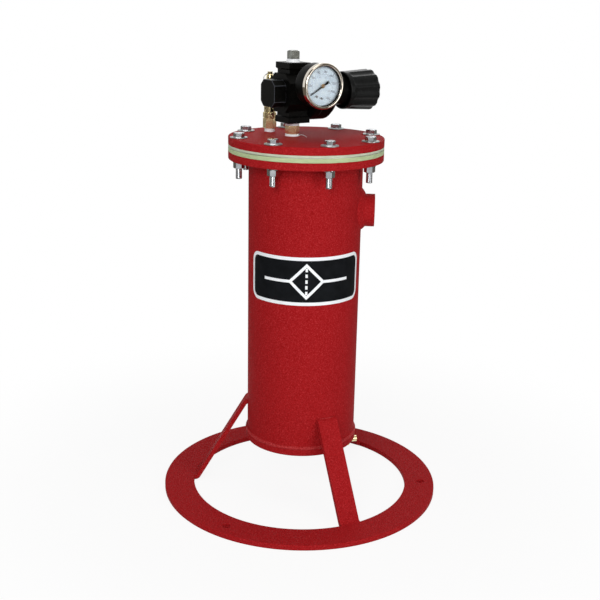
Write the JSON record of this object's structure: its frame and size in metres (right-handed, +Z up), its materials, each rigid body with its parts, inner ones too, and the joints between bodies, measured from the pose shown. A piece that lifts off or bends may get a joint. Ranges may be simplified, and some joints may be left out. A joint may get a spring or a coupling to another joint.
{
  "type": "compressed air filter",
  "caption": "Upright vessel air filter on a ring stand, with bolted lid, replaceable cartridge, pressure regulator, gauge, relief valve and bottom drain.",
  "frame": {"origin": "on the vessel's axis, on the floor under the ring stand", "axes": "+Z up along the vessel's axis; +X towards the inlet, within 3 degrees; -Y towards the viewer, the side that the gauge faces"},
  "size_m": [0.4309, 0.431, 0.6765],
  "materials": {
    "red_paint": "textured powder coat",
    "gasket": "matte",
    "zinc": "bright zinc plate",
    "steel": "plain steel",
    "felt": "felt",
    "drying_beads": "packed beads",
    "charcoal": "packed granules",
    "brass": "machined",
    "tape": "thin white film",
    "regulator_black": "satin",
    "knob_black": "satin moulded",
    "seal_rubber": "matte",
    "case_chrome": "polished",
    "window": "clear",
    "dial_white": "printed dial",
    "pointer_black": "matte black"
  },
  "bodies": {
    "filter": {"base_ring": "red_paint", "leg_front": "red_paint", "leg_rear": "red_paint", "leg_left": "red_paint", "vessel_shell": "red_paint", "bottom_plate": "red_paint", "inlet_coupling": "red_paint", "body_flange": "red_paint", "lower_gasket": "gasket", "upper_gasket": "gasket", "lid": "red_paint", "lid_bolts": "zinc", "lid_washers": "zinc", "lock_washers": "zinc", "lid_nuts": "zinc", "cartridge_flange": "steel", "cartridge_can": "steel", "lower_screen": "steel", "lower_felt": "felt", "drying_bed": "drying_beads", "middle_felt": "felt", "carbon_bed": "charcoal", "upper_felt": "felt", "upper_screen": "steel", "riser_nipple": "brass", "thread_tape": "tape", "port_plug": "zinc", "regulator_body": "regulator_black", "valve_cap": "regulator_black", "cap_seal": "seal_rubber", "poppet_spring": "steel", "diaphragm": "seal_rubber", "bonnet": "regulator_black", "control_spring": "steel", "gauge_case": "regulator_black", "gauge_bezel": "case_chrome", "gauge_lens": "window", "gauge_dial": "dial_white", "gauge_stem": "brass", "bourdon_tube": "brass", "movement_plate": "brass", "relief_body": "brass", "relief_cap": "brass", "relief_spring": "steel", "drain_elbow": "brass", "drain_nipple": "brass", "petcock_body": "brass"},
    "valve": {"valve_poppet": "brass", "diaphragm_plate": "steel"},
    "screw": {"adjusting_screw": "steel"},
    "knob": {"knob": "knob_black"},
    "loading_nut": {"spring_nut": "steel"},
    "pointer": {"gauge_pointer": "pointer_black", "gauge_pinion": "brass"},
    "sector": {"gauge_sector": "brass"},
    "relief_stem": {"relief_stem": "brass"},
    "pull_ring": {"relief_ring": "steel"},
    "drain_key": {"petcock_key": "brass"}
  },
  "joints": [
    {"name": "valve_lift", "type": "slide", "parent": "filter", "child": "valve", "axis": [-0.8387, -0.5446, 0], "range_m": [0, 0.0015], "stiffness_N_per_m": 1000, "springref_m": -0.002, "deforming": ["poppet_spring", "diaphragm"]},
    {"name": "pressure_adjust", "type": "hinge", "parent": "filter", "child": "screw", "pos_m": [0.05532, 0.05256, 0.61745], "axis": [-0.8387, -0.5446, 0], "range_deg": [0, 1440]},
    {"name": "knob_lock", "type": "slide", "parent": "screw", "child": "knob", "axis": [-0.8387, -0.5446, 0], "range_m": [0, 0.003]},
    {"name": "spring_load", "type": "slide", "parent": "filter", "child": "loading_nut", "axis": [-0.8387, -0.5446, 0], "range_m": [0, 0.006], "deforming": ["control_spring"]},
    {"name": "gauge_reading", "type": "hinge", "parent": "filter", "child": "pointer", "pos_m": [0.02428, -0.05821, 0.63172], "axis": [-0.5446, 0.8387, 0], "range_deg": [0, 270], "stiffness_Nm_per_rad": 0.00005, "springref_deg": -57.3},
    {"name": "sector_swing", "type": "hinge", "parent": "filter", "child": "sector", "pos_m": [0.02138, -0.0601, 0.62106], "axis": [-0.5446, 0.8387, 0], "range_deg": [-45.5, 0]},
    {"name": "relief_lift", "type": "slide", "parent": "filter", "child": "relief_stem", "axis": [0, 0, 1], "range_m": [0, 0.0025], "stiffness_N_per_m": 1000, "springref_m": -0.004, "deforming": ["relief_spring"]},
    {"name": "ring_swing", "type": "hinge", "parent": "relief_stem", "child": "pull_ring", "pos_m": [-0.0555, 0.045, 0.64055], "axis": [-0.9659, -0.2588, 0], "range_deg": [0, 284]},
    {"name": "drain_turn", "type": "hinge", "parent": "filter", "child": "drain_key", "pos_m": [0.06948, 0.02071, 0.064], "axis": [0, 0, 1], "range_deg": [0, 90]}
  ],
  "couplings": [
    {"joint": "spring_load", "follows": "pressure_adjust", "m_per_rad": 0.00023873},
    {"joint": "sector_swing", "follows": "gauge_reading", "ratio": -0.16667}
  ]
}
